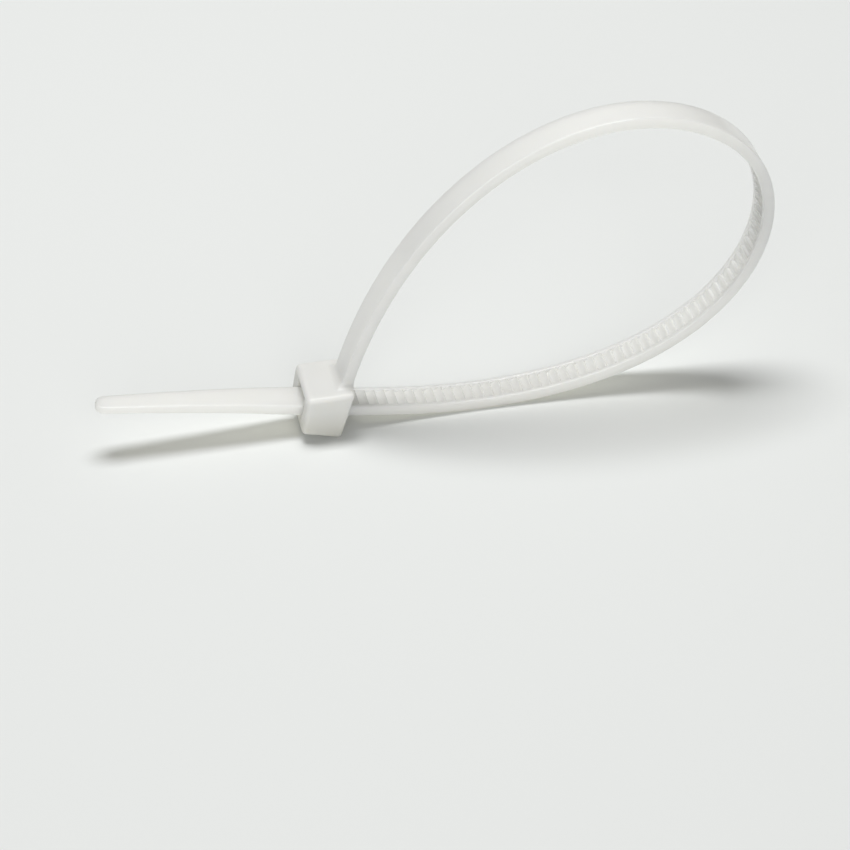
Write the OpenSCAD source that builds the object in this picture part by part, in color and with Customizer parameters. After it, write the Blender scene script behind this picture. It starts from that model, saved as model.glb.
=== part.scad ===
// Cable tie, closed once round nothing: the tail has gone through the head,
// so that the strap stands up in a pear-shaped loop. Moulded in one piece of nylon.
// Millimetres. The loop stands in the XZ plane, its mouth at the head, +Z up.
// The floor is z = 0. The middle of the whole tie is above the origin.

/* [Strap] */
// Width of the strap
strap_w = 2.5; // [2.2:0.1:3.2]
// Thickness of the strap over its rails
strap_t = 0.88; // [0.75:0.01:1.1]
// Width of the plain rail along each edge of the toothed face
rail_w = 0.34; // [0.2:0.02:0.5]
// Distance from one ratchet tooth to the next
tooth_pitch = 0.75; // [0.6:0.05:1.1]
// Height of a ratchet tooth
tooth_h = 0.26; // [0.16:0.02:0.36]
// How far the tips of the teeth lie under the rails
tooth_sunk = 0.04; // [0.02:0.01:0.1]
// Length of the strap without teeth, next to the head
plain_len = 11; // [6:1:20]

/* [Loop] */
// From the slot to the outside of the loop's far end
loop_reach = 32.5; // [28:0.5:38]
// Overall height of the loop
loop_height = 24.1; // [21:0.1:28]
// From the slot to the place where the strap touches the floor
floor_reach = 10.5; // [8.5:0.5:13]
// Height of the loop's far end
far_height = 14.5; // [12:0.5:16]
// From the slot to the top of the loop
top_reach = 21.2; // [18:0.2:23]

/* [Head] */
// Width of the head across the strap
head_w = 5; // [4.6:0.1:6]
// Length of the head along its slot
head_len = 3.3; // [3:0.1:4.2]
// From the middle of the slot down to the head's foot, at the mouth
head_below = 1.66; // [1.4:0.02:2.2]
// From the middle of the slot up to the head's top, at the mouth
head_above = 2.38; // [2.2:0.02:3]
// Radius of the head's edges
head_round = 0.35; // [0.2:0.05:0.5]
// Tilt of the slot from level, down towards the loop
slot_tilt = 10; // [6:1:14]
// Draft of the mouth's face, which the strap's root carries on
mouth_draft = 7; // [4:1:9]
// Draft of the head's top
top_draft = 10; // [4:1:12]
// Draft of the head's foot
foot_draft = 5.5; // [2:0.5:8]
// Radius of the fillets where the strap grows out of the head
root_fillet = 0.5; // [0.3:0.05:0.7]

/* [Slot and pawl] */
// Clearance between the strap and the slot, on every side
slot_gap = 0.08; // [0.05:0.01:0.12]
// Height of the pawl's chamber above the strap
chamber_h = 0.86; // [0.7:0.02:1]
// Width of the pawl
pawl_w = 1.5; // [1:0.1:1.6]
// Length of the pawl from its hinge to its tip
pawl_len = 2.1; // [1.6:0.1:2.3]
// Thickness of the pawl's hinge
hinge_t = 0.42; // [0.3:0.02:0.5]
// Gap between the pawl's teeth and the strap's
mesh_gap = 0.05; // [0.03:0.01:0.08]

/* [Tail] */
// Length of the tail outside the head
tail_len = 15.2; // [12:0.2:20]
// Rise of the tail's tip from level
tail_rise = 6.5; // [2:0.5:10]
// Width of the tail close to its tip
tail_tip_w = 1.5; // [1:0.1:2]
// Thickness of the tail at its tip
tail_tip_t = 0.6; // [0.4:0.02:0.7]

/* [Hidden] */

nylon = [0.93, 0.93, 0.9];
// Straight pieces that stand for each bend of the strap, and for each rounded corner
bend_steps = 28;
corner_steps = 6;
// How deep one form is let into the next, so that they join
let_in = 0.4;
// How far the root's flush side, and the fillets, stay under the face that they run into
flush_step = 0.02;

// Each bend is a cubic curve. Its two pulls are shares of the room it has.
mouth_pull = 0.27;
floor_pull_in = 0.36;
floor_pull_out = 0.70;
far_pull_in = 0.44;
far_pull_out = 0.63;
top_pull_in = 0.52;
top_pull_out = 0.38;
root_pull = 0.68;
tail_pull = 0.6;
exit_pull = 0.2;

// A direction in the XZ plane, from its angle above +X
function heading(a) = [cos(a), sin(a)];

// The head's own frame: u runs along the slot towards the loop, w at right angles to it
function from_mouth(u, w) = u * heading(-slot_tilt) + w * heading(90 - slot_tilt);

// The arc of a rounded corner, from the side that leaves it along one to the side along other
function unit(v) = v / norm(v);
function wrapped(a) = a > 180 ? a - 360 : a < -180 ? a + 360 : a;
function corner_arc(corner, one, other, r) =
    let (half = acos(one * other) / 2)
    let (centre = corner + unit(one + other) * r / sin(half))
    let (first = corner + one * r / tan(half) - centre)
    let (last = corner + other * r / tan(half) - centre)
    let (start = atan2(first.y, first.x))
    let (turn = wrapped(atan2(last.y, last.x) - start))
    [for (k = [0 : corner_steps]) centre + r * heading(start + turn * k / corner_steps)];

// A polygon with every corner rounded
function rounded(points, r) = [
    for (i = [0 : len(points) - 1])
        let (corner = points[i])
        let (back = unit(points[(i + len(points) - 1) % len(points)] - corner))
        let (ahead = unit(points[(i + 1) % len(points)] - corner))
        each corner_arc(corner, back, ahead, r)
];

// Side view of the head, from its foot at the mouth round to its top
mouth_slope = tan(mouth_draft);
foot_at_mouth = [-head_below * mouth_slope, -head_below];
top_at_mouth = [head_above * mouth_slope, head_above];
foot_at_exit = [-head_len, -head_below + (head_len + foot_at_mouth.x) * tan(foot_draft)];
top_at_exit = [-head_len, head_above - (head_len + top_at_mouth.x) * tan(top_draft)];
head_side = rounded([foot_at_mouth, top_at_mouth, top_at_exit, foot_at_exit], head_round);

// The head stands on the rounded edge of its foot, and the tie is centred over the origin
mouth_height = -min([for (p = head_side) from_mouth(p.x, p.y).y]);
exit = from_mouth(-head_len, 0);
tail_tip = exit + tail_len * heading(180 - (tail_rise + slot_tilt) / 2);
mouth = [-(loop_reach + tail_tip.x) / 2, mouth_height];

// The strap's middle line: a place, a heading, and the pulls before and behind it
root_heading = 270 - slot_tilt - mouth_draft;
root_u = head_above * mouth_slope - (strap_t / 2 + flush_step) / cos(mouth_draft);
root = from_mouth(root_u, head_above);
far_x = loop_reach - strap_t / 2;
top_z = loop_height - strap_t / 2;
root_z = mouth_height + root.y;
stations = [
    [mouth + tail_tip, -tail_rise, 0, tail_len * tail_pull],
    [mouth + exit, -slot_tilt, tail_len * exit_pull, head_len / 3],
    [mouth, -slot_tilt, head_len / 3, floor_reach * mouth_pull],
    [[mouth.x + floor_reach, strap_t / 2], 0,
        floor_reach * floor_pull_in, (far_x - floor_reach) * floor_pull_out],
    [[mouth.x + far_x, far_height], 90,
        far_height * far_pull_in, (top_z - far_height) * far_pull_out],
    [[mouth.x + top_reach, top_z], 180,
        (far_x - top_reach) * top_pull_in, (top_reach - root.x) * top_pull_out],
    [mouth + root, root_heading, (top_z - root_z) * root_pull, 0]
];

// Points and headings of the middle line, with the length up to each
function bend(a, b, t) =
    let (p = a[0])
    let (q = a[0] + a[3] * heading(a[1]))
    let (r = b[0] - b[2] * heading(b[1]))
    let (s = b[0])
    [
        pow(1 - t, 3) * p + 3 * pow(1 - t, 2) * t * q + 3 * (1 - t) * t * t * r + t * t * t * s,
        pow(1 - t, 2) * (q - p) + 2 * (1 - t) * t * (r - q) + t * t * (s - r)
    ];
line = [
    for (i = [0 : len(stations) - 2])
        for (k = [(i == 0 ? 0 : 1) : bend_steps]) bend(stations[i], stations[i + 1], k / bend_steps)
];
function step(i) = i == 0 || i >= len(line) ? 0 : norm(line[i][0] - line[i - 1][0]);
run = [for (i = 0, s = 0; i < len(line); i = i + 1, s = s + step(i)) s];
function turned(v) = let (a = atan2(v.y, v.x)) a < -90 ? a + 360 : a;
line_x = [for (i = [0 : len(line) - 1]) [run[i], line[i][0].x]];
line_z = [for (i = [0 : len(line) - 1]) [run[i], line[i][0].y]];
line_a = [for (i = [0 : len(line) - 1]) [run[i], turned(line[i][1])]];

// A point beside the strap's middle line: s along it, n towards the inside of the loop
function beside(s, n) =
    [lookup(s, line_x), lookup(s, line_z)] + n * heading(lookup(s, line_a) + 90);

// Stretches of the strap, as lengths from the tip of the tail
exit_run = run[bend_steps];
root_run = run[len(run) - 1];
tooth_count = floor((root_run - plain_len - exit_run) / tooth_pitch);
toothed_end = exit_run + tooth_count * tooth_pitch;

// The toothed face keeps its distance from the middle line, but for the thin tail
inner = strap_t / 2;
tail_inner = tail_tip_t - inner;
function face_at(s) = s < exit_run ? tail_inner + (inner - tail_inner) * s / exit_run : inner;

// A tooth rises slowly towards the loop, then drops: the tail slips in, but not back out.
// Its corners are shares of the pitch, with their places above the strap's middle.
tooth_tip = inner - tooth_sunk;
tooth_foot = tooth_tip - tooth_h;
tooth_corners = [[0.08, tooth_foot], [0.78, tooth_tip], [0.92, tooth_tip]];
teeth = [
    for (i = [0 : tooth_count - 1])
        for (corner = tooth_corners)
            beside(exit_run + (i + corner.x) * tooth_pitch, corner.y)
];

// The strap's root goes on into the head
root_end = mouth + root + 2 * let_in * heading(root_heading);
root_side = heading(root_heading + 90) * strap_t / 2;

outer_edge = [for (s = run) beside(s, -inner)];
function inner_edge(from, to) = [
    for (i = [len(run) - 1 : -1 : 0])
        if (run[i] >= from && run[i] <= to) beside(run[i], face_at(run[i]))
];

// Side view of a rail, and of the web with its teeth
rail_side = concat(
    outer_edge,
    [root_end - root_side, root_end + root_side],
    inner_edge(0, root_run)
);
web_side = concat(
    outer_edge,
    [root_end - root_side, root_end + root_side],
    inner_edge(toothed_end, root_run),
    [beside(toothed_end, tooth_foot)],
    [for (i = [len(teeth) - 1 : -1 : 0]) teeth[i]],
    [beside(exit_run, tooth_foot)],
    inner_edge(0, exit_run)
);

// A shape drawn in the XZ plane, given a width across the strap
module across(points, width) {
    rotate([90, 0, 0])
        linear_extrude(height = width, center = true)
            polygon(points);
}

// Puts a shape of the head's own frame where the head is
module at_head() {
    translate([mouth.x, 0, mouth.y])
        rotate([0, slot_tilt, 0])
            children();
}

// Plan view of the strap: straight edges, and a tail that narrows to a round tip
module strap_plan() {
    tip_r = tail_tip_w / 2;
    tip = mouth + tail_tip;
    narrowing = atan((strap_w - tail_tip_w) / 2 / (tail_len - tip_r));
    past_exit = mouth.x + exit.x + let_in;
    wide = strap_w / 2 + (let_in + tip_r) * tan(narrowing);
    polygon(concat(
        [for (a = [90 : 180 / (3 * corner_steps) : 270]) [tip.x + tip_r, 0] + tip_r * heading(a)],
        [[past_exit, -wide], [past_exit, -strap_w], [mouth.x + loop_reach + strap_w, -strap_w]],
        [[mouth.x + loop_reach + strap_w, strap_w], [past_exit, strap_w], [past_exit, wide]]
    ));
}

module rails() {
    for (side = [-1, 1])
        translate([0, side * (strap_w - rail_w) / 2, 0])
            across(rail_side, rail_w);
}

module toothed_web() {
    across(web_side, strap_w - 2 * rail_w);
}

module strap() {
    intersection() {
        union() {
            rails();
            toothed_web();
        }
        translate([0, 0, -strap_w])
            linear_extrude(height = loop_height + 2 * strap_w)
                strap_plan();
    }
}

// Outside of the head: its side view, cut to a rounded front and to rounded ends,
// where the end at the mouth leans with the mouth's face
module head_body() {
    tall = head_below + head_above;
    long = 2 * head_len;
    front = [[-head_w / 2, -head_below], [head_w / 2, -head_below],
        [head_w / 2, head_above], [-head_w / 2, head_above]];
    intersection() {
        across(head_side, 2 * head_w);
        rotate([90, 0, 90])
            linear_extrude(height = 2 * long, center = true)
                polygon(rounded(front, head_round));
        head_end(-head_len, long, tall);
        rotate([0, mouth_draft, 0])
            head_end(-long, 0, tall);
    }
}

module head_end(from, to, tall) {
    side = head_w / 2;
    linear_extrude(height = 2 * tall, center = true)
        polygon(rounded([[from, -side], [to, -side], [to, side], [from, side]], head_round));
}

// The way through the head: close round the strap at the mouth, with the pawl's chamber above
slot_floor = -strap_t / 2 - slot_gap;
slot_roof = strap_t / 2 + slot_gap;
chamber_roof = strap_t / 2 + chamber_h;
hinge_u = -head_len + pawl_len + let_in;

module passage() {
    across([
        [head_len, slot_floor], [head_len, slot_roof], [hinge_u + let_in, slot_roof],
        [hinge_u, chamber_roof], [-2 * head_len, chamber_roof], [-2 * head_len, slot_floor]
    ], strap_w + 2 * slot_gap);
}

// The pawl hangs from the mouth side of its chamber, and its teeth lie in the strap's
module pawl() {
    tip_u = hinge_u - pawl_len + let_in;
    first = ceil((head_len + tip_u) / tooth_pitch);
    count = floor((head_len + hinge_u + let_in) / tooth_pitch) - first;
    tip = -head_len + first * tooth_pitch;
    back = tip + count * tooth_pitch;
    across(concat(
        [[tip, tooth_foot + mesh_gap]],
        [for (i = [0 : count - 1])
            for (corner = tooth_corners)
                [tip + (i + corner.x) * tooth_pitch, corner.y + mesh_gap]],
        [[back, slot_roof], [hinge_u + 2 * let_in, slot_roof]],
        [[hinge_u + 2 * let_in, slot_roof + hinge_t], [hinge_u, slot_roof + hinge_t]],
        [[tip, slot_roof + hinge_t / 2]]
    ), pawl_w);
}

// The strap's root spreads on to the head's sloping top, with a fillet on three of its sides.
// Its fourth side lies flush with the mouth's face.
module root_flare() {
    up = heading(90 - mouth_draft);
    back = heading(180 + top_draft);
    flush = top_at_mouth - [2 * flush_step / cos(mouth_draft), 0];
    outer = flush - [strap_t / cos(mouth_draft), 0];
    drop = (top_at_mouth.x - outer.x) * tan(top_draft) / (up.y - up.x * tan(top_draft));
    corner = outer - drop * up;
    behind = corner_arc(corner, up, back, root_fillet);
    flank = corner_arc([strap_w / 2, 0], [0, 1], [1, 0], root_fillet);
    flank_foot = flank[corner_steps].x;
    sunk = let_in * up;
    translate([0, 0, -flush_step])
        intersection() {
            across(concat(
                [flush - sunk, flush + norm(behind[0] - corner) * up],
                behind,
                [behind[corner_steps] - sunk]
            ), 2 * strap_w);
            translate([top_at_mouth.x, 0, top_at_mouth.y])
                rotate([0, -top_draft, 0])
                    rotate([90, 0, 90])
                        linear_extrude(height = 4 * head_len, center = true)
                            polygon(concat(
                                flank,
                                [[flank_foot, -head_len], [-flank_foot, -head_len]],
                                [for (i = [corner_steps : -1 : 0]) [-flank[i].x, flank[i].y]],
                                [[-strap_w / 2, head_len], [strap_w / 2, head_len]]
                            ));
        }
}

module head() {
    difference() {
        at_head() head_body();
        at_head() passage();
    }
    at_head() {
        pawl();
        root_flare();
    }
}

module cable_tie() {
    color(nylon) {
        strap();
        head();
    }
}

cable_tie();
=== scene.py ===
# %% [markdown]
# A cable tie, from its frame to its finish
#
# The object is one moulding of natural nylon: a strap with ratchet teeth, and a head with a slot
# and a pawl. Its tail has gone through the head, so the strap stands up in a pear-shaped loop.
# This lesson builds it in cells: the route of the strap, the strap that follows it, the head,
# the union of the two, the nylon, and last the floor, the light and the camera.

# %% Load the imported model
import math

import bmesh
import bpy
from mathutils import Matrix, Vector


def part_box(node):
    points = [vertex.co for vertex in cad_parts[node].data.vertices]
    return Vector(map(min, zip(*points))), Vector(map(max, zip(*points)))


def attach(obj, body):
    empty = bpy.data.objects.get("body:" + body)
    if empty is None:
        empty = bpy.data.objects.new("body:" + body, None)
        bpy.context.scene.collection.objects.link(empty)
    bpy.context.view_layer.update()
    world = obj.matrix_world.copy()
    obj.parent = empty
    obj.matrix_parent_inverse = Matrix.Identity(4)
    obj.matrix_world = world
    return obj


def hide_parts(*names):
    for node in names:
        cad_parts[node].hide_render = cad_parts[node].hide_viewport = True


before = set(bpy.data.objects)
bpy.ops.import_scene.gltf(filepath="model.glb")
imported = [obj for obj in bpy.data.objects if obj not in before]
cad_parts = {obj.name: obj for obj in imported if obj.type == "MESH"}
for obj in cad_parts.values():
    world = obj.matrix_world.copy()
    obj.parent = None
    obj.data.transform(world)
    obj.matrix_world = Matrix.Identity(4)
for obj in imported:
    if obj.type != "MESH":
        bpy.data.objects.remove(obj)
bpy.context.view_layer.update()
node_low, node_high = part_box("cable_tie")
print("CAD box of the tie, metres:", [round(x, 4) for x in (*node_low, *node_high)])

# %% [markdown]
# Working units
#
# Bevels and booleans have tolerances of about a ten-thousandth of a unit. On a head of 5 mm,
# modelled in metres, that is as large as its finest edges. So everything is modelled with
# one unit to a millimetre, and a mesh is only scaled to metres when it is finished.

# %% Working units
MM = 0.001
DOWN_TO_METRES = Matrix.Scale(MM, 4)

# %% [markdown]
# The sizes of the tie
#
# These are the driving sizes of the real object, in millimetres, and they repeat those of the
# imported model. Every place further down is worked out from them. A tie of this class is 2.5 mm
# wide and 100 mm long. Its teeth stand 0.75 mm apart.

# %% The sizes of the tie
strap_w, strap_t = 2.5, 0.88
rail_w = 0.34
tooth_pitch, tooth_h, tooth_sunk = 0.75, 0.26, 0.04
plain_len = 11.0

loop_reach, loop_height = 32.5, 24.1
floor_reach, far_height, top_reach = 10.5, 14.5, 21.2

head_w, head_len = 5.0, 3.3
head_below, head_above = 1.66, 2.38
head_round = 0.35
slot_tilt, mouth_draft, top_draft, foot_draft = (math.radians(a) for a in (10, 7, 10, 5.5))
root_fillet = 0.5

slot_gap = 0.08
chamber_h = 0.86
pawl_w, pawl_len, hinge_t = 1.5, 2.1, 0.42
mesh_gap = 0.05

tail_len, tail_tip_w, tail_tip_t = 15.2, 1.5, 0.6
tail_rise = math.radians(6.5)

let_in = 0.4
print(f"strap {strap_w} x {strap_t} mm, head {head_w} x {head_len} x {head_below + head_above:.2f} mm")

# %% [markdown]
# Directions and the head's own frame
#
# The loop stands in the XZ plane, so a heading is one angle above +X. The head leans with its slot.
# Its own frame runs u along the slot towards the loop, y across, and w at right angles to the slot.
# The mouth of the slot is the frame's origin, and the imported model's box says where it stands.

# %% Directions and the head's own frame
def heading(angle):
    return Vector((math.cos(angle), 0, math.sin(angle)))


def from_mouth(u, w):
    return u * heading(-slot_tilt) + w * heading(math.pi / 2 - slot_tilt)


mouth_slope = math.tan(mouth_draft)
foot_at_mouth = (-head_below * mouth_slope, -head_below)
top_at_mouth = (head_above * mouth_slope, head_above)
foot_at_exit = (-head_len, -head_below + (head_len + foot_at_mouth[0]) * math.tan(foot_draft))
top_at_exit = (-head_len, head_above - (head_len + top_at_mouth[0]) * math.tan(top_draft))

# The head stands on the rounded edge between its foot and its mouth
foot_corner = from_mouth(*foot_at_mouth)
foot_way = (from_mouth(*foot_at_exit) - foot_corner).normalized()
mouth_way = (from_mouth(*top_at_mouth) - foot_corner).normalized()
half_corner = foot_way.angle(mouth_way) / 2
edge_middle = foot_corner + (foot_way + mouth_way).normalized() * head_round / math.sin(half_corner)
mouth = Vector((node_high.x / MM - loop_reach, 0, head_round - edge_middle.z))


def in_head(u, y, w):
    return mouth + from_mouth(u, w) + Vector((0, y, 0))


print("mouth of the slot, millimetres:", [round(x, 3) for x in mouth])

# %% [markdown]
# The route of the strap
#
# A bent strap keeps its length and bends evenly, so its middle line is a smooth curve through a few
# places with known headings: the tip of the tail, the two ends of the slot, the floor, the far end,
# the top and the root. Bezier handles are exactly that: a heading and a pull. The pulls are shares
# of the room that each bend has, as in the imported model, so that the two agree.

# %% The route of the strap
exit_place = mouth + from_mouth(-head_len, 0)
tail_tip = exit_place + tail_len * heading(math.pi - (tail_rise + slot_tilt) / 2)
far_x = loop_reach - strap_t / 2
top_z = loop_height - strap_t / 2
flush_step = 0.02
root_heading = math.radians(270) - slot_tilt - mouth_draft
root_u = head_above * mouth_slope - (strap_t / 2 + flush_step) / math.cos(mouth_draft)
root = mouth + from_mouth(root_u, head_above)
root_x = root.x - mouth.x


def at_reach(x, z):
    return Vector((mouth.x + x, 0, z))


# Each station: its place, its heading, and the pulls before and behind it
stations = [
    (tail_tip, -tail_rise, 0, 0.6 * tail_len),
    (exit_place, -slot_tilt, 0.2 * tail_len, head_len / 3),
    (mouth, -slot_tilt, head_len / 3, 0.27 * floor_reach),
    (at_reach(floor_reach, strap_t / 2), 0, 0.36 * floor_reach, 0.70 * (far_x - floor_reach)),
    (at_reach(far_x, far_height), math.pi / 2, 0.44 * far_height, 0.63 * (top_z - far_height)),
    (at_reach(top_reach, top_z), math.pi, 0.52 * (far_x - top_reach), 0.38 * (top_reach - root_x)),
    (root, root_heading, 0.68 * (top_z - root.z), let_in / 3),
    (root + let_in * heading(root_heading), root_heading, let_in / 3, 0),
]


def make_route(name, steps=64):
    data = bpy.data.curves.new(name, "CURVE")
    data.dimensions = "3D"
    data.resolution_u = steps
    spline = data.splines.new("BEZIER")
    spline.bezier_points.add(len(stations) - 1)
    for point, (place, way, before, behind) in zip(spline.bezier_points, stations):
        point.handle_left_type = point.handle_right_type = "FREE"
        point.co = place
        point.handle_left = place - before * heading(way)
        point.handle_right = place + behind * heading(way)
    route = bpy.data.objects.new(name, data)
    bpy.context.scene.collection.objects.link(route)
    return route


def stretch_lengths(steps=64):
    lengths = []
    for (a, way_a, _, behind), (b, way_b, before, _) in zip(stations, stations[1:]):
        near, far = a + behind * heading(way_a), b - before * heading(way_b)
        line = [
            (1 - t) ** 3 * a + 3 * (1 - t) ** 2 * t * near + 3 * (1 - t) * t * t * far + t**3 * b
            for t in (i / steps for i in range(steps + 1))
        ]
        lengths.append(sum((q - p).length for p, q in zip(line, line[1:])))
    return lengths


route = make_route("strap_route")
lengths = stretch_lengths()
tail_run = lengths[0]
root_run = sum(lengths[:-1])
tooth_count = int((root_run - plain_len - tail_run) / tooth_pitch)
print(f"strap: {root_run:.1f} mm long, {tail_run:.1f} mm of it outside the exit, {tooth_count} teeth")

# %% [markdown]
# A small language for node trees
#
# Geometry and shader trees are easier to read as sums than as boxes and wires. `Value` wraps the
# output of a node, and arithmetic on it adds the Math nodes. Every other node comes from `Tree.add`,
# which takes a node's type, its settings, and what goes into its sockets. A geometry tree gets named
# inputs, runs on a carrier object, and leaves a plain mesh behind.

# %% A small language for node trees
class Value:
    def __init__(self, tree, socket):
        self.tree, self.socket = tree, socket

    def math(self, operation, *others):
        return self.tree.add("ShaderNodeMath", {"operation": operation}, dict(enumerate((self, *others))))

    def __add__(self, other):
        return self.math("ADD", other)

    def __radd__(self, other):
        return self.math("ADD", other)

    def __sub__(self, other):
        return self.math("SUBTRACT", other)

    def __rsub__(self, other):
        return (self * -1) + other

    def __mul__(self, other):
        return self.math("MULTIPLY", other)

    def __rmul__(self, other):
        return self.math("MULTIPLY", other)

    def __truediv__(self, other):
        return self.math("DIVIDE", other)

    def __lt__(self, other):
        return self.math("LESS_THAN", other)

    def __gt__(self, other):
        return self.math("GREATER_THAN", other)

    def __abs__(self):
        return self.math("ABSOLUTE")


class Tree:
    def __init__(self, nodes_and_links):
        self.nodes, self.links = nodes_and_links.nodes, nodes_and_links.links

    def add(self, kind, settings=None, inputs=None, out=0):
        node = self.nodes.new(kind)
        for name, value in (settings or {}).items():
            if name == "items":
                for _ in range(value - len(node.index_switch_items)):
                    node.index_switch_items.new()
            else:
                setattr(node, name, value)
        for key, value in (inputs or {}).items():
            if isinstance(value, Value):
                self.links.new(value.socket, node.inputs[key])
            else:
                node.inputs[key].default_value = value
        return Value(self, node.outputs[out]) if node.outputs else None

    def named(self, name, kind="FLOAT"):
        return self.add("GeometryNodeInputNamedAttribute", {"data_type": kind}, {"Name": name})

    def store(self, geometry, name, value, kind="FLOAT"):
        settings = {"data_type": kind, "domain": "POINT"}
        inputs = {"Geometry": geometry, "Name": name, "Value": value}
        return self.add("GeometryNodeStoreNamedAttribute", settings, inputs)

    def vector(self, operation, *inputs):
        return self.add("ShaderNodeVectorMath", {"operation": operation}, dict(enumerate(inputs)))

    def scaled(self, vector, factor):
        inputs = {"Vector": vector, "Scale": factor}
        return self.add("ShaderNodeVectorMath", {"operation": "SCALE"}, inputs)

    def height_of(self, vector):
        return self.add("ShaderNodeSeparateXYZ", {}, {0: vector}, out=2)

    def clamped(self, value):
        return value.math("MAXIMUM", 0.0).math("MINIMUM", 1.0)


# %% Running a geometry tree
def geometry_tree(name, inputs):
    """A geometry tree with named inputs, and its inputs as Values."""
    group = bpy.data.node_groups.new(name, "GeometryNodeTree")
    sockets = {}
    for label, (kind, _) in inputs.items():
        sockets[label] = group.interface.new_socket(label, in_out="INPUT", socket_type=kind)
    group.interface.new_socket("Geometry", in_out="OUTPUT", socket_type="NodeSocketGeometry")
    tree = Tree(group)
    entry = group.nodes.new("NodeGroupInput")
    values = {label: Value(tree, entry.outputs[i]) for i, label in enumerate(inputs)}
    return group, tree, sockets, values


def run_tree(carrier, group, sockets, inputs):
    """Runs a tree on an object and returns its result as a plain mesh object."""
    modifier = carrier.modifiers.new(group.name, "NODES")
    modifier.node_group = group
    for label, (_, value) in inputs.items():
        if value is not None:
            modifier[sockets[label].identifier] = value
    depsgraph = bpy.context.evaluated_depsgraph_get()
    mesh = bpy.data.meshes.new_from_object(carrier.evaluated_get(depsgraph), depsgraph=depsgraph)
    carrier.modifiers.remove(modifier)
    result = bpy.data.objects.new(group.name, mesh)
    bpy.context.scene.collection.objects.link(result)
    return result

# %% [markdown]
# The section of the strap
#
# Cut across, the strap is a flat bar whose inner face is a trough between two rails. The teeth lie
# in the trough. A mould leaves every edge with a small radius, larger on the outer face, which has
# to be pleasant to touch. The section is a closed outline with rounded corners.

# %% Rounded corners
def arc_corner(corner, before, after, radius, steps):
    """Points of a rounded corner, on the way from one neighbour to the other."""
    back, ahead = (before - corner).normalized(), (after - corner).normalized()
    half = back.angle(ahead) / 2
    middle = corner + (back + ahead).normalized() * radius / math.sin(half)
    first = corner + back * radius / math.tan(half) - middle
    last = corner + ahead * radius / math.tan(half) - middle
    turn = first.angle(last)
    shares = [i / steps for i in range(steps + 1)]
    return [
        middle + (math.sin(turn * (1 - t)) * first + math.sin(turn * t) * last) / math.sin(turn)
        for t in shares
    ]


def rounded(corners):
    """corners: (place, radius, steps). A corner of no radius stays sharp."""
    points = []
    for i, (corner, radius, steps) in enumerate(corners):
        before, after = corners[i - 1][0], corners[(i + 1) % len(corners)][0]
        if radius:
            points += arc_corner(corner, before, after, radius, steps)
        else:
            points.append(corner)
    return points


# %% The section of the strap
def on_section(y, n):
    return Vector((y, n, 0))


outer_round, rail_round, trough_round = 0.1, 0.09, 0.05
wall_draft = 0.02
half_w, half_t = strap_w / 2, strap_t / 2
trough_y = half_w - rail_w
web_y = trough_y - wall_draft
tooth_tip = half_t - tooth_sunk
tooth_foot = tooth_tip - tooth_h

half_section = [
    (on_section(half_w, -half_t), outer_round, 5),
    (on_section(half_w, half_t), rail_round, 4),
    (on_section(trough_y, half_t), trough_round, 3),
    (on_section(web_y, tooth_foot), 0, 0),
    (on_section(web_y / 2, tooth_foot), 0, 0),
]
mirrored = [(on_section(-place.x, place.y), *rest) for place, *rest in reversed(half_section)]
outer_middle = [(on_section(y * half_w, -half_t), 0, 0) for y in (-0.4, 0, 0.4)]
section_points = rounded(half_section + [(on_section(0, tooth_foot), 0, 0)] + mirrored + outer_middle)
print(f"section of the strap: {len(section_points)} points")


# %% The section as a curve
def make_outline(name, points):
    data = bpy.data.curves.new(name, "CURVE")
    data.dimensions = "3D"
    spline = data.splines.new("POLY")
    spline.points.add(len(points) - 1)
    for point, place in zip(spline.points, points):
        point.co = (*place, 1)
    spline.use_cyclic_u = True
    outline = bpy.data.objects.new(name, data)
    bpy.context.scene.collection.objects.link(outline)
    return outline


section = make_outline("strap_section", section_points)
print("section is closed:", section.data.splines[0].use_cyclic_u)

# %% [markdown]
# The nylon
#
# Natural nylon is milky: light goes in, scatters under the surface and comes out a little further
# on, so thin edges glow and shadows on it stay soft. That is subsurface scattering, and the random
# walk method follows the light through the real thickness of the part. One setting for the whole
# tie would leave the thin strap too dull or the thick head too bright. So there are two bodies of the
# same nylon, and a number that every point carries mixes them. The head's body scatters over a
# shorter reach, and its colour is painted shade: a darker copy of the strap's colour.

# %% The colours of the nylon
milk, warm_milk = (0.90, 0.905, 0.885, 1), (0.905, 0.90, 0.873, 1)
# Painted shade for the teeth's crests, and painted light for the feet between them
crest_painted_shade, foot_painted_light = (0.77, 0.77, 0.75, 1), (0.985, 0.985, 0.975, 1)
# Painted shade for the head: a darker copy of the nylon's colour, darker and warmer still at its foot
head_milk_painted_shade, head_warm_milk_painted_shade = (0.80, 0.81, 0.79, 1), (0.80, 0.79, 0.76, 1)
head_foot_painted_shade = (0.62, 0.61, 0.55, 1)
scatter_tint, nylon_ior = (1.0, 0.98, 0.92), 1.53
strap_scatter, head_scatter = 2.0, 0.9
strap_roughness, head_roughness = 0.25, 0.38
strap_skin, head_skin, skin_roughness = 0.7, 0.0, 0.12
print("roughness from", strap_roughness, "on the strap to", head_roughness, "on the head")


def nylon_body(tree, colour, roughness, bump, scatter, skin):
    settings = {
        "Base Color": colour,
        "Roughness": roughness,
        "Normal": bump,
        "IOR": nylon_ior,
        "Subsurface Weight": 1.0,
        "Subsurface Radius": scatter_tint,
        "Subsurface Scale": scatter * MM,
        "Coat Weight": skin,
        "Coat Roughness": skin_roughness,
    }
    return tree.add("ShaderNodeBsdfPrincipled", {"subsurface_method": "RANDOM_WALK"}, settings)


def blend_colours(tree, share, first, second):
    return tree.add("ShaderNodeMix", {"data_type": "RGBA"}, {0: share, 6: first, 7: second}, out=2)


def blend_shaders(tree, share, first, second):
    return tree.add("ShaderNodeMixShader", {}, {0: share, 1: first, 2: second})


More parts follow.
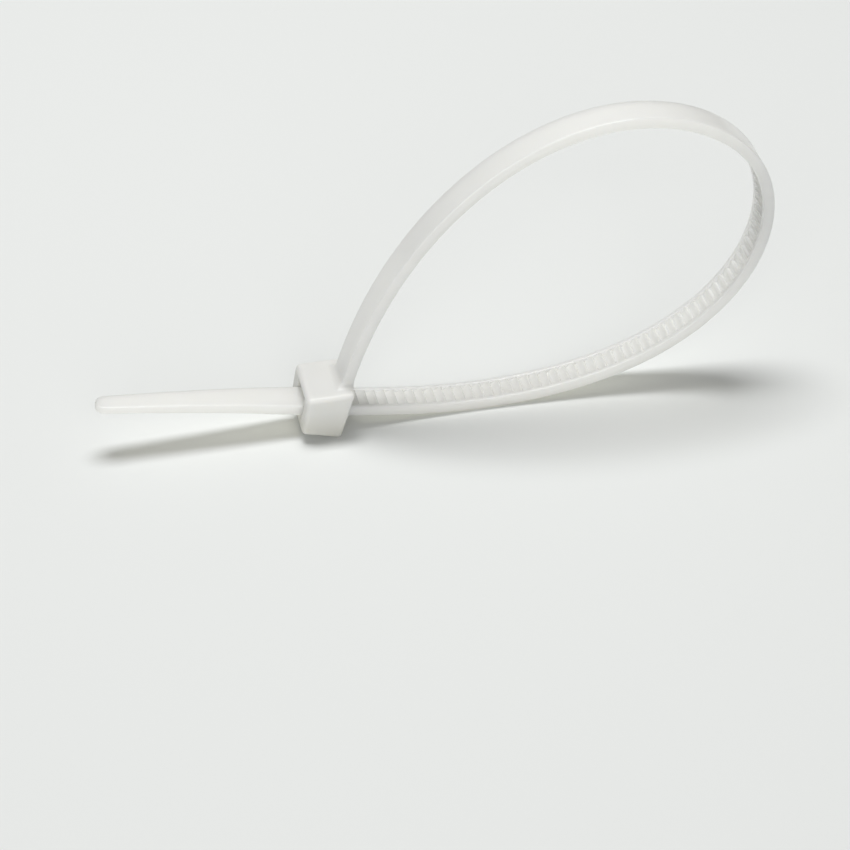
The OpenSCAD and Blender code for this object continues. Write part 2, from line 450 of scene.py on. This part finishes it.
# %% [markdown]
# The surface of the nylon
#
# Nothing moulded is quite even. Three noises on the object's own coordinates do it: a slow cloud
# drifts the colour and the gloss, flow marks and a fine grain lift the surface by a hundredth of a
# millimetre. The gloss stays above a quarter in roughness, because a moulded tie shines softly.

# %% The surface of the nylon
cloud_scale, flow_scale, grain_scale = 0.35, 1.3, 6.0
cloud_gloss, grain_gloss = 0.08, 0.05
mark_height, mark_strength, grain_share = 0.012, 0.3, 0.15

nylon = bpy.data.materials.new("natural_nylon")
nylon.use_nodes = True
nylon.node_tree.nodes.clear()
finish = Tree(nylon.node_tree)
spot_in_mm = finish.scaled(finish.add("ShaderNodeTexCoord", out=3), 1 / MM)


def nylon_noise(scale, detail):
    inputs = {"Vector": spot_in_mm, "Scale": scale, "Detail": detail}
    return finish.add("ShaderNodeTexNoise", {}, inputs)


cloud = nylon_noise(cloud_scale, 3.0)
grain = nylon_noise(grain_scale, 2.0)
flow = nylon_noise(flow_scale, 4.0)
marks = {"Strength": mark_strength, "Distance": mark_height * MM, "Height": flow + grain_share * grain}
bump = finish.add("ShaderNodeBump", {}, marks)
roughness = cloud_gloss * cloud + grain_gloss * grain
print("flow marks:", mark_height * 1000, "micrometres high")

# %% [markdown]
# Thin strap, thick head
#
# The strap's tree will store three numbers on its points: how far a point belongs to the strap, and
# how near it lies to a tooth's crest or foot. Between the teeth the strap is thinnest, and the light
# that comes up through it from the pale floor is painted there as a paler colour, painted light.
# The crests get a greyer colour, painted shade. The head's colour is painted shade too: darker and
# warmer towards its foot, where the light has the most nylon to cross.

# %% Thin strap, thick head
head_foot_shade_reach = 2.6


def stored_on_strap(name):
    return finish.add("ShaderNodeAttribute", {"attribute_name": name}, out=2)


# Painted shade on the teeth's crests and painted light at their feet
crest_shade_mask, foot_light_mask = stored_on_strap("crest_share"), stored_on_strap("foot_share")
on_strap = stored_on_strap("strap_share")
strap_colour = blend_colours(finish, cloud, milk, warm_milk)
strap_colour = blend_colours(finish, crest_shade_mask, strap_colour, crest_painted_shade)
strap_colour = blend_colours(finish, foot_light_mask * foot_light_mask, strap_colour, foot_painted_light)
thin = nylon_body(finish, strap_colour, roughness + strap_roughness, bump, strap_scatter, strap_skin)

# Painted shade: the head's colour grows darker and warmer towards its foot
low = (1 - finish.height_of(spot_in_mm) / head_foot_shade_reach).math("MAXIMUM", 0.0)
head_colour = blend_colours(finish, cloud, head_milk_painted_shade, head_warm_milk_painted_shade)
head_colour = blend_colours(finish, low, head_colour, head_foot_painted_shade)
thick = nylon_body(finish, head_colour, roughness + head_roughness, bump, head_scatter, head_skin)
body = blend_shaders(finish, on_strap, thick, thin)
print("light scatters over", strap_scatter, "mm in the strap and", head_scatter, "mm in the head")

# %% [markdown]
# Light that passes the nylon
#
# Two more shares are small but show. A Translucent shader lights a face by what falls on its back.
# And the tie's shadow isn't black: where the strap lies level, a lamp shines through its 0.9 mm,
# and the light comes out a little warmer. Where it stands upright the light would have to cross its
# whole width, and the head lets none through. So only shadow rays see a share of the strap as clear.

# %% Light that passes the nylon
glow_light, lamp_light = (0.97, 0.965, 0.92, 1), (1.0, 0.97, 0.86, 1)
head_glow, strap_extra_glow = 0.1, 0.12
upright_pass, level_extra_pass = 0.04, 0.4

glow = finish.add("ShaderNodeBsdfTranslucent", {}, {"Color": glow_light, "Normal": bump})
body = blend_shaders(finish, head_glow + strap_extra_glow * on_strap, body, glow)
is_shadow_ray = finish.add("ShaderNodeLightPath", out=1)
clear = finish.add("ShaderNodeBsdfTransparent", {}, {"Color": lamp_light})
level = finish.height_of(finish.add("ShaderNodeNewGeometry", out=1))
passes = on_strap * (upright_pass + level_extra_pass * level * level)
body = blend_shaders(finish, is_shadow_ray * passes, body, clear)
finish.add("ShaderNodeOutputMaterial", {}, {"Surface": body})
print("nylon:", len(nylon.node_tree.nodes), "nodes")

# %% [markdown]
# The strap's tree
#
# The strap follows a rule: rings of one section, set square to the route. Geometry Nodes build it.
# Each ring finds its place along the route by its number. Rings crowd round the tail's tip and the
# root, and every tooth gets the same few rings: up the ramp, over the crest and down the steep face.
# The tree only needs the height of the web at each ring to turn a plain bar into a rack of teeth.

# %% The inputs of the strap's tree
tooth_stations = (0.0, 0.05, 0.18, 0.34, 0.50, 0.62, 0.68, 0.73, 0.82, 0.87, 0.94)
ramp_end, crest_end, first_foot = 0.70, 0.84, 0.08
tail_rings, plain_rings, tip_step = 80, 60, 1.5
toothed_end = tail_run + tooth_count * tooth_pitch
plain_start = toothed_end + first_foot * tooth_pitch
fillet_sunk = 0.004
head_top = in_head(top_at_mouth[0], 0, top_at_mouth[1]).z - fillet_sunk
fillet_foot = root_run + (root.z - head_top) / -heading(root_heading).z

strap_inputs = {
    "Route": ("NodeSocketObject", route),
    "Section": ("NodeSocketObject", section),
    "Nylon": ("NodeSocketMaterial", nylon),
    "Tail run": ("NodeSocketFloat", tail_run),
    "Pitch": ("NodeSocketFloat", tooth_pitch),
    "Teeth": ("NodeSocketInt", tooth_count),
    "Tooth height": ("NodeSocketFloat", tooth_h),
    "Tooth foot": ("NodeSocketFloat", tooth_foot),
    "Plain start": ("NodeSocketFloat", plain_start),
    "Fillet foot": ("NodeSocketFloat", fillet_foot),
    "Buried end": ("NodeSocketFloat", root_run + let_in * 0.99),
    "Half width": ("NodeSocketFloat", half_w),
    "Half thickness": ("NodeSocketFloat", half_t),
    "Tip radius": ("NodeSocketFloat", tail_tip_w / 2),
    "Tip thickness": ("NodeSocketFloat", tail_tip_t),
    "Edge": ("NodeSocketFloat", outer_round),
    "Web edge": ("NodeSocketFloat", trough_y + trough_round * 1.2),
    "Root fillet": ("NodeSocketFloat", root_fillet),
    "Head top": ("NodeSocketFloat", head_top),
}
strap_group, tree, strap_sockets, v = geometry_tree("strap", strap_inputs)
print("inputs of the strap's tree:", len(strap_inputs))

# %% Where the rings go
# Comparing with a number half a ring off keeps whole numbers clear of rounding
half_ring = 0.5
index = tree.add("GeometryNodeInputIndex")
in_row = index - tail_rings
tooth = (in_row / len(tooth_stations)).math("FLOOR")
station = in_row - tooth * len(tooth_stations)
phases = dict(enumerate((station + half_ring / 2, *tooth_stations)))
phase = tree.add("GeometryNodeIndexSwitch", {"data_type": "FLOAT", "items": len(tooth_stations)}, phases)
row_rings = v["Teeth"] * len(tooth_stations)
is_tail = index < tail_rings
is_plain = index > row_rings + (tail_rings - half_ring)
tail_share = (index + tip_step) / (tail_rings - 1 + tip_step)
is_last = index > row_rings + (tail_rings + plain_rings - 1 - half_ring)
plain_share = ((in_row - row_rings) / (plain_rings - 2)).math("MINIMUM", 1.0)


def choose(flag, yes, no, kind="FLOAT"):
    return tree.add("GeometryNodeSwitch", {"input_type": kind}, {"Switch": flag, "False": no, "True": yes})


in_tail = v["Tail run"] * tail_share * tail_share
in_teeth = v["Tail run"] + (tooth + first_foot + phase) * v["Pitch"]
in_plain = v["Plain start"] + (v["Fillet foot"] - v["Plain start"]) * plain_share * (2 - plain_share)
in_plain = choose(is_last, v["Buried end"], in_plain)
along = choose(is_tail, in_tail, choose(is_plain, in_plain, in_teeth))
print("rings of the strap:", tail_rings + tooth_count * len(tooth_stations) + plain_rings)

# %% [markdown]
# The web between the rails
#
# In the tail and the plain stretch the web is flush with the rails. Between them it follows the
# teeth: up a ramp to a short crest, then steeply down. The soft minimum of the ramp, the crest and
# the drop rounds the crest a little, as the edge of a moulded tooth is.

# %% The web between the rails
crest_softness = 0.06
ramp = phase / ramp_end
drop = (1 - phase) / (1 - crest_end)
rise = ramp.math("SMOOTH_MIN", 1.0, crest_softness).math("SMOOTH_MIN", drop, crest_softness)
is_smooth = is_tail + is_plain + (tooth < 1)
web = choose(is_smooth, v["Half thickness"], v["Tooth foot"] + rise * v["Tooth height"])
tail_way = (1 - along / v["Tail run"]).math("MAXIMUM", 0.0)
thinning = (2 * v["Half thickness"] - v["Tip thickness"]) * tail_way
print(f"web: {tooth_foot:.2f} mm at a tooth's foot, {tooth_tip:.2f} mm at its crest")

# %% The spine
place = tree.add("GeometryNodeObjectInfo", {"transform_space": "ORIGINAL"}, {"Object": v["Route"]}, out=4)
on_route = {"mode": "LENGTH", "data_type": "FLOAT"}
sample = tree.add("GeometryNodeSampleCurve", on_route, {"Curves": place, "Length": along}, out=1)
tangent = Value(tree, sample.socket.node.outputs[2])
across_way = (0.0, 1.0, 0.0)
inward = tree.vector("CROSS_PRODUCT", tangent, across_way)

ring_count = row_rings + (tail_rings + plain_rings)
line = tree.add("GeometryNodeMeshLine", {"mode": "OFFSET"}, {"Count": ring_count})
line = tree.store(line, "centre", sample, "FLOAT_VECTOR")
line = tree.store(line, "tangent", tangent, "FLOAT_VECTOR")
line = tree.store(line, "inward", inward, "FLOAT_VECTOR")
line = tree.store(line, "along", along)
line = tree.store(line, "web", web)
line = tree.store(line, "thinning", thinning)
line = tree.store(line, "plain", is_plain)
line = tree.add("GeometryNodeSetPosition", {}, {"Geometry": line, "Position": sample})
spine = tree.add("GeometryNodeMeshToCurve", {}, {"Mesh": line})
print("nodes up to the spine:", len(strap_group.nodes))

# %% [markdown]
# From spine to skin
#
# Curve to Mesh sweeps the section along the spine and carries the stored values with it. Every
# point then knows its place in the section and its ring, and is set from them: narrower and
# thinner along the tail, round at the tip, and flared where the strap grows out of the head.

# %% From spine to skin
shape = {"transform_space": "ORIGINAL"}
profile = tree.add("GeometryNodeObjectInfo", shape, {"Object": v["Section"]}, out=4)
spot = tree.add("GeometryNodeInputPosition")
spot_parts = tree.add("ShaderNodeSeparateXYZ", {}, {0: spot})
profile = tree.store(profile, "section_y", spot_parts)
profile = tree.store(profile, "section_n", Value(tree, spot_parts.socket.node.outputs[1]))
sweep = {"Curve": spine, "Profile Curve": profile, "Fill Caps": True}
skin = tree.add("GeometryNodeCurveToMesh", {}, sweep)
y, n = tree.named("section_y"), tree.named("section_n")
along_here, plain_here = tree.named("along"), tree.named("plain")
centre, inward_here = tree.named("centre", "FLOAT_VECTOR"), tree.named("inward", "FLOAT_VECTOR")
tangent_here, web_here = tree.named("tangent", "FLOAT_VECTOR"), tree.named("web")

# %% The width and the round tip
# back is 1 at the tip and 0 a radius behind it, and side is the circle's half width
back = (1 - along_here / v["Tip radius"]).math("MAXIMUM", 0.0)
side = (1 - back * back).math("SQRT")
widening = tree.clamped((along_here - v["Tip radius"]) / (v["Tail run"] - v["Tip radius"]))
half_width = v["Tip radius"] * side + (v["Half width"] - v["Tip radius"]) * widening

# The rounded edges keep their size while the flat between them narrows
edge = v["Edge"]
from_edge = (v["Half width"] - abs(y)).math("MINIMUM", edge)
flat_share = abs(y).math("MINIMUM", v["Half width"] - edge) / (v["Half width"] - edge)
across = y.math("SIGN") * ((half_width - edge * side) * flat_share + (edge - from_edge) * side)

# %% The depth of the teeth
# The web's points are the inner ones between the rails
near = 0.001
inner = n > 0.0
in_trough = inner * (abs(y) < v["Web edge"])
is_web = in_trough * (n < v["Tooth foot"] + near)
flush = in_trough * (abs(web_here - v["Half thickness"]) < near)
depth = choose(is_web, web_here, choose(flush, v["Half thickness"], n))
depth = depth - inner * tree.named("thinning")
above_foot = (web_here - v["Tooth foot"]) / v["Tooth height"]
on_tooth = is_web * (1 - flush)

# %% [markdown]
# The root's flare
#
# The strap grows out of the head's top with a small fillet, as in every moulding where a thin arm
# leaves a block. Near the root the rings lean over until they lie level, as the head's top does, and
# then grow by a quarter circle. Lying level, they meet the head in one clean line for the boolean.

# %% The root's flare
fillet = v["Root fillet"]
centre_height = tree.height_of(centre) - v["Head top"]
inward_rise, tangent_rise = tree.height_of(inward_here), tree.height_of(tangent_here)
lean_reach = 2.0
lies_level = plain_here * tree.clamped(1 - (centre_height - fillet) / lean_reach)

square = tree.scaled(inward_here, depth)
middle = tree.vector("ADD", centre, square)
height = centre_height + depth * inward_rise * (1 - lies_level)
reach_in = fillet - height.math("MAXIMUM", 0.0).math("MINIMUM", fillet)
flare = plain_here * (fillet - (fillet * fillet - reach_in * reach_in).math("SQRT"))
across = across * (1 + flare / v["Half width"])
growth = flare * (v["Half thickness"] - depth) / (2 * v["Half thickness"])
slide = lies_level * (depth - growth) * inward_rise / (near - tangent_rise)

# %% The finished skin
aside = tree.scaled(across_way, across)
outwards = tree.scaled(inward_here, growth)
behind = tree.scaled(tangent_here, from_edge * back + slide)
spot = tree.vector("ADD", tree.vector("SUBTRACT", middle, outwards), tree.vector("ADD", aside, behind))
from_head = tree.clamped(centre_height / fillet / 2)
# These two shares place the painted shade on the crests and the painted light at the feet
skin = tree.store(skin, "crest_share", choose(on_tooth, above_foot, 0.0))
skin = tree.store(skin, "foot_share", choose(on_tooth, 1 - above_foot, 0.0))
skin = tree.store(skin, "strap_share", choose(plain_here, from_head, 1.0))
skin = tree.add("GeometryNodeSetPosition", {}, {"Geometry": skin, "Position": spot})
skin = tree.add("GeometryNodeRealizeInstances", {}, {0: skin})
skin = tree.add("GeometryNodeSetMaterial", {}, {"Geometry": skin, "Material": v["Nylon"]})
tree.add("NodeGroupOutput", {}, {0: skin})
print("strap's tree:", len(strap_group.nodes), "nodes")

carrier = bpy.data.objects.new("strap_carrier", bpy.data.meshes.new("strap_carrier"))
bpy.context.scene.collection.objects.link(carrier)
strap = run_tree(carrier, strap_group, strap_sockets, strap_inputs)


# %% The measure of a closed mesh
same_spot = 0.0002


def outward_volume(piece):
    """Turns a closed mesh's faces outwards and returns its volume."""
    mesh = bmesh.new()
    mesh.from_mesh(piece.data)
    bmesh.ops.remove_doubles(mesh, verts=mesh.verts, dist=same_spot)
    bmesh.ops.recalc_face_normals(mesh, faces=mesh.faces)
    if mesh.calc_volume(signed=True) < 0:
        bmesh.ops.reverse_faces(mesh, faces=mesh.faces)
    volume = mesh.calc_volume(signed=True)
    loose = sum(1 for edge in mesh.edges if len(edge.link_faces) != 2)
    mesh.to_mesh(piece.data)
    mesh.free()
    print(f"{piece.name}: {len(piece.data.polygons)} faces, {volume:.1f} cubic mm, {loose} open edges")
    return volume


outward_volume(strap)

# %% [markdown]
# The head
#
# The head is a small block with drafted faces, so that it leaves its mould. Its edges are rounded
# well. The core that makes the slot pulls out of both ends, and the rims it leaves are rounded a
# little too. The block is one prism with bevelled edges. The slot's cutter is a tube of rings that
# flares at both ends, which rounds the rims in the same cut.

# %% A bar across the tie
def mesh_object(name, mesh):
    data = bpy.data.meshes.new(name)
    mesh.to_mesh(data)
    mesh.free()
    piece = bpy.data.objects.new(name, data)
    bpy.context.scene.collection.objects.link(piece)
    data.materials.append(nylon)
    return piece


def prism(name, side_view, width, edge=0.0, steps=1):
    """A bar across the tie, whose side view is given in the head's frame."""
    mesh = bmesh.new()
    cheeks = [[mesh.verts.new(in_head(u, y, w)) for u, w in side_view] for y in (-width / 2, width / 2)]
    for cheek in cheeks:
        mesh.faces.new(cheek)
    count = len(side_view)
    for i in range(count):
        j = (i + 1) % count
        mesh.faces.new((cheeks[0][i], cheeks[0][j], cheeks[1][j], cheeks[1][i]))
    if edge:
        bmesh.ops.bevel(
            mesh, geom=mesh.edges[:], offset=edge, segments=steps, profile=0.5, affect="EDGES"
        )
    piece = mesh_object(name, mesh)
    outward_volume(piece)
    return piece


# %% The head
head_side = [foot_at_mouth, top_at_mouth, top_at_exit, foot_at_exit]
head = prism("head", head_side, head_w, head_round, steps=8)

# %% [markdown]
# The slot, the chamber and the pawl
#
# The strap fills the slot but for a hair's breadth. Over it, towards the exit, the slot opens into
# a chamber where the pawl hangs on its hinge. The pawl grips the strap's teeth from above and lets
# them slide only one way. It gets as many whole teeth as fit under it, which is one here. The rims
# are quarter circles. They are drawn out wider on the cheeks of the exit, where the photo shows
# a soft edge beside the tail.

# %% The slot and the chamber
slot_floor, slot_roof = -strap_t / 2 - slot_gap, strap_t / 2 + slot_gap
chamber_roof = strap_t / 2 + chamber_h
hinge_u = -head_len + pawl_len + let_in
slot_half = strap_w / 2 + slot_gap
rim, rim_steps, rim_sunk, past = 0.12, 6, 0.012, 0.5
exit_wide, exit_deep = 2.6, 2.0
slot_h, chamber_top = slot_roof - slot_floor, chamber_roof - slot_floor
print(f"slot: {2 * slot_half:.2f} mm wide and {slot_h:.2f} mm high, {chamber_top:.2f} mm in the chamber")


def rim_flare(inside):
    reach = rim - min(max(inside, 0.0), rim)
    return rim - math.sqrt(rim * rim - reach * reach)


def slot_ring(u, slope, flare, roof, cheek_share=1.0):
    low, high, wide = slot_floor - flare, roof + flare, slot_half + flare * cheek_share
    corners = ((low, -wide), (low, wide), (high, wide), (high, -wide))
    return [in_head(u + w * slope, y, w) for w, y in corners]


def mouth_ring(inside):
    return slot_ring(rim_sunk - inside, mouth_slope, rim_flare(inside), slot_roof)


def exit_ring(inside):
    u = inside * exit_deep - rim_sunk - head_len
    return slot_ring(u, 0, rim_flare(inside), chamber_roof, exit_wide)


# %% The slot's cutter
insides = [rim * (1 - math.cos(math.pi / 2 * i / rim_steps)) for i in range(rim_steps + 1)]
rings = [slot_ring(past, mouth_slope, rim, slot_roof)]
rings += [mouth_ring(inside) for inside in insides]
rings += [slot_ring(hinge_u + let_in, 0, 0, slot_roof), slot_ring(hinge_u, 0, 0, chamber_roof)]
rings += [exit_ring(inside) for inside in reversed(insides)]
rings += [slot_ring(-head_len - past, 0, rim, chamber_roof, exit_wide)]


def tube(name, rings):
    mesh = bmesh.new()
    made = [[mesh.verts.new(place) for place in ring] for ring in rings]
    for ring, following in zip(made, made[1:]):
        for i in range(len(ring)):
            j = (i + 1) % len(ring)
            mesh.faces.new((ring[i], ring[j], following[j], following[i]))
    mesh.faces.new(made[0])
    mesh.faces.new(made[-1])
    piece = mesh_object(name, mesh)
    outward_volume(piece)
    return piece


slot_cutter = tube("slot_cutter", rings)

# %% The pawl
pawl_first = math.ceil((head_len + hinge_u - pawl_len + let_in) / tooth_pitch)
pawl_teeth = int((head_len + hinge_u + let_in) / tooth_pitch) - pawl_first
pawl_tip = -head_len + pawl_first * tooth_pitch
tooth_shape = ((0.08, tooth_foot), (0.78, tooth_tip), (0.92, tooth_tip))
pawl_side = [(pawl_tip, tooth_foot + mesh_gap)]
for i in range(pawl_teeth):
    pawl_side += [(pawl_tip + (i + share) * tooth_pitch, w + mesh_gap) for share, w in tooth_shape]
hinge_end = hinge_u + 2 * let_in
pawl_side += [(pawl_tip + pawl_teeth * tooth_pitch, slot_roof), (hinge_end, slot_roof)]
pawl_side += [(hinge_end, slot_roof + hinge_t), (hinge_u, slot_roof + hinge_t)]
pawl_side += [(pawl_tip, slot_roof + hinge_t / 2)]
pawl = prism("pawl", pawl_side, pawl_w)
print("teeth of the pawl:", pawl_teeth)

# %% [markdown]
# One moulding
#
# The strap, the head and the pawl left the mould as one piece, and light scatters through all of
# it. So booleans join them into one closed skin. Inner faces would stop the scattered light.

# %% One moulding
def combine(piece, other, operation):
    modifier = piece.modifiers.new(operation, "BOOLEAN")
    modifier.operation = operation
    modifier.solver = "MANIFOLD"
    modifier.object = other
    depsgraph = bpy.context.evaluated_depsgraph_get()
    made = bpy.data.meshes.new_from_object(piece.evaluated_get(depsgraph), depsgraph=depsgraph)
    piece.modifiers.remove(modifier)
    piece.data = made
    bpy.data.objects.remove(other)
    outward_volume(piece)


combine(head, slot_cutter, "DIFFERENCE")
combine(head, pawl, "UNION")
combine(head, strap, "UNION")

# %% The finished tie
sharp_angle = math.radians(35)
tie = head
tie.name = tie.data.name = "tie"
for helper in (carrier, route, section):
    bpy.data.objects.remove(helper)

tie.data.transform(DOWN_TO_METRES)
tie.data.shade_smooth()
tie.data.set_sharp_from_angle(angle=sharp_angle)
weighted = tie.modifiers.new("even_shading", "WEIGHTED_NORMAL")
weighted.keep_sharp = True

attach(tie, "root")
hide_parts("cable_tie")
tie.data.calc_loop_triangles()
print("triangles of the tie:", len(tie.data.loop_triangles))

# %% [markdown]
# The floor and the light
#
# The photo was taken on a plain white sheet. One large lamp hangs high above the tie and a little
# behind it, because the shadows fall to the front and their edges are soft. A weaker light, as of a
# window low in front and to the left, brightens the near walls. The rest comes from a white room.

# %% The floor
floor_half, paper_white, paper_roughness, paper_gloss = 1.0, (0.79, 0.805, 0.79, 1), 0.6, 0.2


def make_floor():
    mesh = bmesh.new()
    bmesh.ops.create_grid(mesh, x_segments=2, y_segments=2, size=floor_half)
    floor = mesh_object("floor", mesh)
    paper = bpy.data.materials.new("white_paper")
    paper.use_nodes = True
    shader = paper.node_tree.nodes["Principled BSDF"]
    shader.inputs["Base Color"].default_value = paper_white
    shader.inputs["Roughness"].default_value = paper_roughness
    shader.inputs["Specular IOR Level"].default_value = paper_gloss
    floor.data.materials.clear()
    floor.data.materials.append(paper)
    return floor


floor = make_floor()
print("floor:", round(2 * floor_half, 1), "m square")

# %% The light
room_white, room_light = (1.0, 1.0, 0.995, 1), 0.17
lamp_size, lamp_power, lamp_place = (250, 140), 1.2, (-8, 86, 380)
window_size, window_power, window_place = (300, 300), 0.75, (-60, -380, 160)

room = bpy.data.worlds.new("white_room")
room.use_nodes = True
room.node_tree.nodes["Background"].inputs["Color"].default_value = room_white
room.node_tree.nodes["Background"].inputs["Strength"].default_value = room_light
bpy.context.scene.world = room


def make_lamp(name, shape, size, power, place):
    data = bpy.data.lights.new(name, "AREA")
    data.shape, data.energy = shape, power
    data.size, data.size_y = (side * MM for side in size)
    lamp = bpy.data.objects.new(name, data)
    lamp.location = Vector(place) * MM
    bpy.context.scene.collection.objects.link(lamp)
    return lamp


make_lamp("lamp", "ELLIPSE", lamp_size, lamp_power, lamp_place)
window = make_lamp("window", "RECTANGLE", window_size, window_power, window_place)
window.rotation_euler = (-window.location).to_track_quat("-Z", "Y").to_euler()
bpy.context.scene.view_settings.view_transform = "Standard"
print("lamp and window:", lamp_power, "W and", window_power, "W")

# %% [markdown]
# The camera
#
# The photo looks down by 38 degrees, along the tail's side of the loop, through a long lens. Its
# place follows from a fit of the loop's outline.

# %% The camera
camera_place, looking = Vector((-35.35, -158.27, 124.78)), Vector((0.1686, 0.7698, -0.6157))
lens, sensor, nearest = 114.46, 36, 10

camera_data = bpy.data.cameras.new("camera")
camera_data.lens = lens
camera_data.sensor_width = sensor
camera_data.clip_start = nearest * MM
camera = bpy.data.objects.new("camera", camera_data)
camera.location = camera_place * MM
camera.rotation_euler = looking.to_track_quat("-Z", "Y").to_euler()
bpy.context.scene.collection.objects.link(camera)
bpy.context.scene.camera = camera
print("camera looks down by", round(-math.degrees(math.asin(looking.normalized().z)), 1), "degrees")
